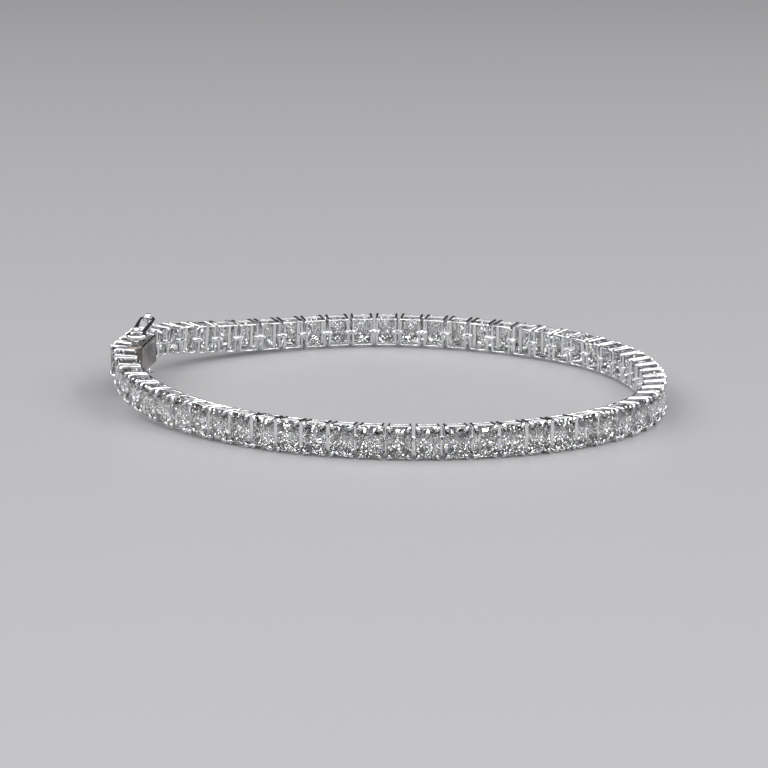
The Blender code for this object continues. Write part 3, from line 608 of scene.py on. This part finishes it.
def clasp_housing():
    """The clasp's box: softened rectangles lofted from the front end along the outside, round the
    mouth's rim and back along the hollow. A row holds U, and how far the floor, the top and each
    side are drawn in from the box's full size."""
    front = np.array(BOX_FRONT) * MM + (BOX_END, 0, 0, 0)
    rim = np.array(BOX_RIM) * MM + (BOX_START, 0, 0, 0)
    hollow = np.array((0, BOX_WALL, BOX_TOP_WALL, BOX_WALL))
    lip = hollow + (BOX_START, -BOX_LIP, -BOX_LIP, -BOX_LIP)
    mouth = hollow + (BOX_START + BOX_LIP, 0, 0, 0)
    inner_end = hollow + (BOX_END - BOX_FRONT_WALL, 0, 0, 0)
    rows = np.vstack((front, rim, lip, mouth, inner_end))
    outline = rounded_rectangle(1, 1, BOX_EDGE, 5)
    low, high = BOX_FLOOR_LEVEL + rows[:, 1:2], BOX_TOP_LEVEL - rows[:, 2:3]
    v = (low + high) / 2 + (high - low) / 2 * outline[:, 0]
    w = (BOX_HALF_WIDTH - rows[:, 3:]) * outline[:, 1]
    return lofted(np.stack((np.broadcast_to(rows[:, :1], v.shape), v, w), axis=-1))


def folded_tongue():
    """The spring tongue: a flat section carried along a leaf that folds back on itself."""
    low, high = TONGUE_LOW + TONGUE_LEAF / 2, TONGUE_HIGH - TONGUE_LEAF / 2
    middle, half = (low + high) / 2, (high - low) / 2
    tip = SEAM + TONGUE_LENGTH - TONGUE_LEAF / 2
    turn = np.linspace(-np.pi / 2, np.pi / 2, 9)
    fold = np.stack((tip - half + half * np.cos(turn), middle + half * np.sin(turn)), axis=1)
    path = np.vstack(((SEAM + TONGUE_ROOT, low), fold, (SEAM + TONGUE_FREE_END, high)))
    heading = unit(np.gradient(path, axis=0))
    across = np.stack((-heading[:, 1], heading[:, 0]), axis=1)
    section = rounded_rectangle(TONGUE_LEAF / 2, TONGUE_HALF_WIDTH, TONGUE_CORNER, 2)
    plan = path[:, None] + section[None, :, :1] * across[:, None]
    level = np.broadcast_to(section[:, 1], plan.shape[:2])
    return lofted(np.concatenate((plan, level[..., None]), axis=-1))


def end_plate():
    """The plate that closes the mouth: a softened rectangle lofted through its thickness."""
    rows = np.array(PLATE_STEPS) * (MM, 1)
    low, high, half = TONGUE_LOW - TONGUE_LEAF, TONGUE_HIGH, TONGUE_HALF_WIDTH + PLATE_MARGIN
    outline = rounded_rectangle(1, 1, PLATE_CORNER, 3)
    v = (low + high) / 2 + (high - low) / 2 * rows[:, 1:] * outline[:, 0]
    w = half * rows[:, 1:] * outline[:, 1]
    return lofted(np.stack((np.broadcast_to(SEAM + rows[:, :1], v.shape), v, w), axis=-1))


def catch_eye():
    """The upper eye: a round section turned about V, on a tapered stem with a foot."""
    centre = EDGE + EYE_LIFT
    middle, half = (EYE_RADIUS + EYE_HOLE) / 2, (EYE_RADIUS - EYE_HOLE) / 2
    outline = rounded_rectangle(half, EYE_HALF_THICKNESS, EYE_EDGE, 4)
    turn = 2 * np.pi * np.arange(EYE_SIDES) / EYE_SIDES
    reach = np.repeat(middle + outline[None, :, 0], len(turn), axis=0)
    rings = np.stack((reach * np.cos(turn)[:, None], np.broadcast_to(outline[:, 1], reach.shape),
                      reach * np.sin(turn)[:, None]), axis=-1)
    ring = moved(ring_path(rings), (0, CATCH_LEVEL, centre))
    top = centre - middle
    heights = np.concatenate((np.array(EYE_STEM) * MM, (top - EYE_STEM_END, top)))
    post = np.stack((0 * heights, np.full(len(heights), CATCH_LEVEL), heights), axis=1)
    stem = wire(post, np.array(EYE_STEM_RADII) * MM, (0, 1, 0), CATCH_SIDES)
    brace = np.array(EYE_FOOT) * MM
    foot = wire(brace[:, :3], brace[:, 3], (1, 0, 0), EYE_FOOT_SIDES)
    return moved(above_and_below(joined([ring, stem, foot])), (TONGUE_MIDDLE, 0, 0))


def ball_peg():
    """The upper ball peg: a collar, a neck and a ball in one turned profile."""
    centre = EDGE + BALL_LIFT
    angle = np.radians(np.linspace(*BALL_ARC, 11))
    ball = np.stack((BALL_RADIUS * np.cos(angle), centre + BALL_RADIUS * np.sin(angle)), axis=1)
    neck = (PEG_NECK_RADIUS, centre - BALL_RADIUS - PEG_NECK_GAP)
    peg = turned(np.vstack((np.array(PEG_COLLAR) * MM, neck, ball)), PEG_SIDES)
    return moved(above_and_below(peg), (TONGUE_MIDDLE + CATCH_SPAN, CATCH_LEVEL, 0))


def catch_wire():
    """The figure-eight wire in its own plane: a long bail that narrows to a waist, and the ring."""
    drop = EYE_LIFT - CATCH_RING_LIFT
    span = math.hypot(CATCH_SPAN, drop)
    ring_radius = BALL_RADIUS + BALL_CLEARANCE + RING_WIRE_RADIUS
    half = EYE_HALF_THICKNESS + BAIL_SIDE_CLEARANCE + BAIL_RADIUS
    bend = half - EYE_HALF_THICKNESS - BAIL_BEND_CLEARANCE
    join = ring_radius * math.sqrt(0.5)
    turn = np.linspace(0, np.pi / 2, 5)
    bow = np.stack((bend * (1 - np.cos(turn)), half - bend + bend * np.sin(turn)), axis=1)
    legs = np.vstack((np.array(BAIL_LEG) * (span, half),
                      (span - join - RING_WIRE_RADIUS, join * BAIL_WAIST), (span - join, join)))
    side = np.vstack((bow, curve_through(np.vstack((bow[-1:], legs)), 13)[1:]))
    outline = np.vstack((side[::-1] * (1, -1), side))
    bail_path = np.concatenate((outline, np.zeros((len(outline), 1))), axis=1)
    thicker = np.clip(bail_path[:, 0] / bend - BAIL_THICKENS_FROM, 0, 1)
    bail = wire(bail_path, BAIL_RADIUS + (BAIL_LEG_RADIUS - BAIL_RADIUS) * thicker, (0, 0, 1), CATCH_SIDES)
    turn = 2 * np.pi * np.arange(RING_SIDES) / RING_SIDES
    ring_line = np.stack((span + ring_radius * np.cos(turn), ring_radius * np.sin(turn), 0 * turn), axis=1)
    ring = ring_path(round_sections(ring_line, RING_WIRE_RADIUS, (0, 0, 1), CATCH_SIDES, looped=True))
    return joined([bail, ring])


def catch_frame(clasp, side):
    """Axes of a catch: from its hinge towards the ball, level across the clasp, and away from the
    band, tipped down by the drop from the eye to the ring."""
    along, out, up, middle = clasp
    hinge = middle + along * TONGUE_MIDDLE + out * CATCH_LEVEL + up * side * (EDGE + EYE_LIFT)
    slope = math.atan2(EYE_LIFT - CATCH_RING_LIFT, CATCH_SPAN)
    away = side * up
    to_ball = along * math.cos(slope) - away * math.sin(slope)
    lifted = along * math.sin(slope) + away * math.cos(slope)
    return np.stack((to_ball, side * out, lifted, hinge))[None]


def shared_group(name, inputs, outputs):
    """A shader node group with named number inputs and named outputs."""
    group = bpy.data.node_groups.new(name, "ShaderNodeTree")
    for label, value in inputs:
        socket = group.interface.new_socket(label, in_out="INPUT", socket_type="NodeSocketFloat")
        socket.default_value = value
    for label in outputs:
        group.interface.new_socket(label, in_out="OUTPUT", socket_type="NodeSocketFloat")
    return group, group.nodes.new("NodeGroupInput"), group.nodes.new("NodeGroupOutput")


def handling_wear():
    """Fine scratches and smears of a worn polish: two stretched noises on object coordinates."""
    inputs = (("Polish", 0.08), ("Wear", 0.10), ("Scale", 900.0))
    group, given, result = shared_group("handling wear", inputs, ("Roughness", "Height", "Tone"))
    nodes, links = group.nodes, group.links
    place = nodes.new("ShaderNodeTexCoord")
    smear = nodes.new("ShaderNodeTexNoise")
    smear.inputs["Detail"].default_value = SMEAR_DETAIL
    links.new(place.outputs["Object"], smear.inputs["Vector"])
    links.new(given.outputs["Scale"], smear.inputs["Scale"])
    stretch = nodes.new("ShaderNodeMapping")
    stretch.inputs["Scale"].default_value = SCRATCH_STRETCH
    stretch.inputs["Rotation"].default_value = SCRATCH_TURN
    links.new(place.outputs["Object"], stretch.inputs["Vector"])
    scratch = nodes.new("ShaderNodeTexNoise")
    scratch.inputs["Detail"].default_value = SCRATCH_DETAIL
    links.new(stretch.outputs["Vector"], scratch.inputs["Vector"])
    links.new(given.outputs["Scale"], scratch.inputs["Scale"])
    amount = nodes.new("ShaderNodeMath")
    amount.operation = "MULTIPLY_ADD"
    links.new(smear.outputs["Fac"], amount.inputs[0])
    links.new(given.outputs["Wear"], amount.inputs[1])
    links.new(given.outputs["Polish"], amount.inputs[2])
    links.new(amount.outputs[0], result.inputs["Roughness"])
    links.new(scratch.outputs["Fac"], result.inputs["Height"])
    links.new(smear.outputs["Fac"], result.inputs["Tone"])
    return group


def metal(name, wear, light, dark, polish, amount, depth, scale, tone_from):
    """A white metal whose roughness and bump follow the wear group, and whose tone runs from dark to
    light with the group's output named by tone_from."""
    made = bpy.data.materials.new(name)
    made.use_nodes = True
    nodes, links = made.node_tree.nodes, made.node_tree.links
    shader = nodes["Principled BSDF"]
    shader.inputs["Metallic"].default_value = 1.0
    worn = nodes.new("ShaderNodeGroup")
    worn.node_tree = wear
    worn.inputs["Polish"].default_value = polish
    worn.inputs["Wear"].default_value = amount
    worn.inputs["Scale"].default_value = scale
    tone = nodes.new("ShaderNodeValToRGB")
    for stop, place, colour in zip(tone.color_ramp.elements, TONE_RANGE, (dark, light)):
        stop.position = place
        stop.color = (*colour, 1)
    bump = nodes.new("ShaderNodeBump")
    bump.inputs["Strength"].default_value = depth
    bump.inputs["Distance"].default_value = BUMP_DISTANCE
    links.new(worn.outputs[tone_from], tone.inputs["Fac"])
    links.new(tone.outputs["Color"], shader.inputs["Base Color"])
    links.new(worn.outputs["Roughness"], shader.inputs["Roughness"])
    links.new(worn.outputs["Height"], bump.inputs["Height"])
    links.new(bump.outputs["Normal"], shader.inputs["Normal"])
    return made


def clear_stone():
    """Clear high-index stone whose base colour is painted facet by facet from the mesh's painted flash
    colours: painted flashes of fire and painted dark specks of reflection.
    """
    made = bpy.data.materials.new("clear stone")
    made.use_nodes = True
    nodes, links = made.node_tree.nodes, made.node_tree.links
    shader = nodes["Principled BSDF"]
    shader.inputs["Metallic"].default_value = 0.0
    shader.inputs["Roughness"].default_value = 0.0
    shader.inputs["IOR"].default_value = STONE_IOR
    shader.inputs["Transmission Weight"].default_value = 1.0
    # painted light: the facet tints stand in for fire and dark reflections, and are read into the base
    # colour
    painted_flash = nodes.new("ShaderNodeVertexColor")
    painted_flash.layer_name = "painted_flash"
    links.new(painted_flash.outputs["Color"], shader.inputs["Base Color"])
    return made


def solid_piece(name, shape, material, smooth=True):
    """A mesh object of the shape at the origin."""
    points, faces = shape
    mesh = bpy.data.meshes.new(name)
    mesh.from_pydata(points.tolist(), [], [corners for rows in faces for corners in rows.tolist()])
    mesh.materials.append(material)
    mesh.polygons.foreach_set("use_smooth", np.full(len(mesh.polygons), smooth))
    mesh.update()
    made = bpy.data.objects.new(name, mesh)
    bpy.context.scene.collection.objects.link(made)
    return made


def metal_piece(name, shape, frames, material):
    """The shape repeated in the frames, shaded smooth except where faces meet at a sharp angle."""
    piece = solid_piece(name, placed(shape, frames), material)
    piece.data.set_sharp_from_angle(angle=math.radians(SMOOTH_ANGLE))
    return piece


def add_painted_flashes(piece, random):
    """Painted facet colours: most facets clear white or painted grey as dark specks of reflection, a few
    painted violet-blue, green, yellow or red as flashes of fire, and every table clear."""
    painted_flashes = np.array(PAINTED_FLASH_TINTS)
    hues, chance = painted_flashes[:, :3], painted_flashes[:, 3]
    count = len(piece.data.polygons)
    kind = random.choice(len(hues), count, p=chance)
    sides = np.zeros(count, dtype=int)
    piece.data.polygons.foreach_get("loop_total", sides)
    kind[sides > 4] = 0
    colours = np.repeat(np.concatenate((hues[kind], np.ones((count, 1))), axis=1), sides, axis=0)
    # painted light: a layer of painted flashes of fire and painted dark specks of reflection
    layer = piece.data.color_attributes.new("painted_flash", "FLOAT_COLOR", "CORNER")
    layer.data.foreach_set("color", colours.ravel())


def varied(shape, frames, random):
    """The stone repeated in the frames, each one's facet corners between the table and the girdle and
    below the girdle nudged a little of their own."""
    points, faces = placed(shape, frames)
    drop = (shape[0][:, 1].max() - shape[0][:, 1]) / CROWN_HEIGHT
    girdle = 1 + 2 * GIRDLE_HALF_THICKNESS / CROWN_HEIGHT
    pavilion = drop > girdle + LEVEL_MARGIN
    crown = (drop > LEVEL_MARGIN) & (drop < 1 - LEVEL_MARGIN)
    for chosen, spread in ((pavilion, PAVILION_NUDGE), (crown, CROWN_NUDGE)):
        rows = np.tile(chosen, len(frames))
        points[rows] += random.normal(0, spread, (int(rows.sum()), 3))
    return points, faces


def area_light(name, place, size, power):
    """A soft panel of light at a place, turned towards the middle of the floor."""
    data = bpy.data.lights.new(name, "AREA")
    data.shape = "RECTANGLE"
    data.size, data.size_y = size
    data.energy = power
    made = bpy.data.objects.new(name, data)
    made.location = place
    made.rotation_euler = (-Vector(place)).to_track_quat("-Z", "Y").to_euler()
    bpy.context.scene.collection.objects.link(made)


def studio():
    """The pale floor, the soft panels, the dim room and the camera."""
    floor_mesh = bpy.data.meshes.new("floor")
    half = FLOOR_HALF_SIZE
    corners = [(-half, -half, 0), (half, -half, 0), (half, half, 0), (-half, half, 0)]
    floor_mesh.from_pydata(corners, [], [(0, 1, 2, 3)])
    surface = bpy.data.materials.new("pale floor")
    surface.use_nodes = True
    shader = surface.node_tree.nodes["Principled BSDF"]
    shader.inputs["Base Color"].default_value = (*FLOOR_COLOUR, 1)
    shader.inputs["Roughness"].default_value = FLOOR_ROUGHNESS
    shader.inputs["IOR"].default_value = FLOOR_IOR
    floor_mesh.materials.append(surface)
    floor = bpy.data.objects.new("floor", floor_mesh)
    bpy.context.scene.collection.objects.link(floor)

    area_light("overhead panel", OVERHEAD_PLACE, OVERHEAD_SIZE, OVERHEAD_POWER)
    for number, (azimuth, elevation, width, height, brightness) in enumerate(PANELS):
        turn, rise = math.radians(azimuth), math.radians(elevation)
        place = Vector((math.sin(turn) * math.cos(rise), -math.cos(turn) * math.cos(rise), math.sin(rise)))
        area_light("panel %d" % number, place * PANEL_DISTANCE, (width, height),
                   brightness * width * height * PANEL_POWER)

    world = bpy.data.worlds.new("room")
    world.use_nodes = True
    background = world.node_tree.nodes["Background"]
    background.inputs["Color"].default_value = (*ROOM_COLOUR, 1)
    background.inputs["Strength"].default_value = ROOM_STRENGTH
    bpy.context.scene.world = world
    bpy.context.scene.view_settings.view_transform = "Standard"

    tilt = math.radians(CAMERA_ELEVATION)
    data = bpy.data.cameras.new("camera")
    data.lens = CAMERA_LENS
    data.sensor_width = SENSOR_WIDTH
    data.clip_start = CAMERA_CLIP_START
    camera = bpy.data.objects.new("camera", data)
    back = Vector((0, -math.cos(tilt), math.sin(tilt)))
    camera.location = Vector(ROUTE_OFFSET) + back * CAMERA_DISTANCE
    camera.rotation_euler = (-back).to_track_quat("-Z", "Y").to_euler()
    bpy.context.scene.collection.objects.link(camera)
    bpy.context.scene.camera = camera


def main():
    """The bracelet's pieces and the studio round them."""
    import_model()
    random = np.random.default_rng(SEED)

    joints = joint_points()
    ring = np.vstack((joints, joints[:1]))
    clasp_front = joints[CLASP_PITCHES:CLASP_PITCHES + 1] + (0, 0, CLASP_FRONT_LIFT)
    clasp = frames_between(joints[:1], clasp_front)[0]
    links = frames_between(ring[CLASP_PITCHES:-1], ring[CLASP_PITCHES + 1:])
    front, back = links[:FRONT_LINK_COUNT], links[FRONT_LINK_COUNT:]
    box_seats = moved_along(clasp, SEAM + (np.arange(BOX_STONE_COUNT) + 0.5) * LINK_PITCH)
    tongue_seat = moved_along(clasp, [TONGUE_MIDDLE])
    heading = np.vstack((clasp[:1], links[:, 0], clasp[:1]))
    heading = heading[:-1] + heading[1:]
    hinge_places = ring[CLASP_PITCHES:]
    hinges = frames_between(hinge_places - heading, hinge_places + heading)

    wear = handling_wear()
    gold = metal("polished white gold", wear, light=(0.90, 0.90, 0.91), dark=(0.80, 0.81, 0.83),
                 polish=0.05, amount=0.10, depth=0.10, scale=900, tone_from="Tone")
    # The clasp's metal is painted dark: its low colour is painted shade standing in for the dark
    # reflections on the box, with a random tone from the scratch noise
    clasp_gold_painted_dark = metal("clasp white gold painted dark", wear, light=(0.42, 0.39, 0.37), dark=(0.17, 0.15, 0.14),
                    polish=0.14, amount=0.20, depth=0.35, scale=420, tone_from="Height")
    stone = clear_stone()

    level_stone, lifted_stone = brilliant_stone(0.0), brilliant_stone(CLASP_STONE_LIFT)
    clasp_seats = np.concatenate((box_seats, tongue_seat))
    link_basket = basket(RAIL_TOP, 0.0, True)
    box_basket = basket(BOX_TOP_LEVEL - PRONG_BOX_SINK, CLASP_STONE_LIFT, False)
    tongue_basket = basket(RAIL_TOP, CLASP_STONE_LIFT, True)

    stones = []
    for name, shape, frames in (("stones_front", level_stone, front), ("stones_back", level_stone, back),
                                ("stones_clasp", lifted_stone, clasp_seats)):
        piece = solid_piece(name, varied(shape, frames, random), stone, smooth=False)
        # painted flashes of fire and painted dark specks on every stone's facets
        add_painted_flashes(piece, random)
        stones.append(piece)
    settings_front = metal_piece("settings_front", link_basket, front, gold)
    settings_back = metal_piece("settings_back", link_basket, back, gold)
    loops = metal_piece("hinge_loops", hinge_loop(), hinges, gold)
    # the box wears the white gold painted dark as shade
    box = metal_piece("clasp_housing", clasp_housing(), clasp[None], clasp_gold_painted_dark)
    box_settings = metal_piece("clasp_settings", box_basket, box_seats, gold)
    pegs = metal_piece("ball_pegs", ball_peg(), clasp[None], gold)
    tongue_link = metal_piece("tongue_setting", tongue_basket, tongue_seat, gold)
    # the tongue and its plate wear the white gold painted dark as shade
    tongue_leaf = metal_piece("tongue_spring", joined([folded_tongue(), end_plate()]), clasp[None], clasp_gold_painted_dark)
    eyes = metal_piece("catch_eyes", catch_eye(), clasp[None], gold)
    catches = {}
    for name, side in (("upper", 1), ("lower", -1)):
        catches[name] = metal_piece("catch_wire_" + name, catch_wire(), catch_frame(clasp, side), gold)

    metalwork = [settings_front, settings_back, loops, box, box_settings, pegs, tongue_link,
                 tongue_leaf, eyes]
    for piece in stones + metalwork:
        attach(piece, "bracelet")
    for name, piece in catches.items():
        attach(piece, "catch_" + name)
        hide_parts("safety_catch_" + name)
    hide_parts("stone_line_front")
    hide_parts("stone_line_back")
    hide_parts("clasp_box")
    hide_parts("clasp_tongue")

    studio()


main()
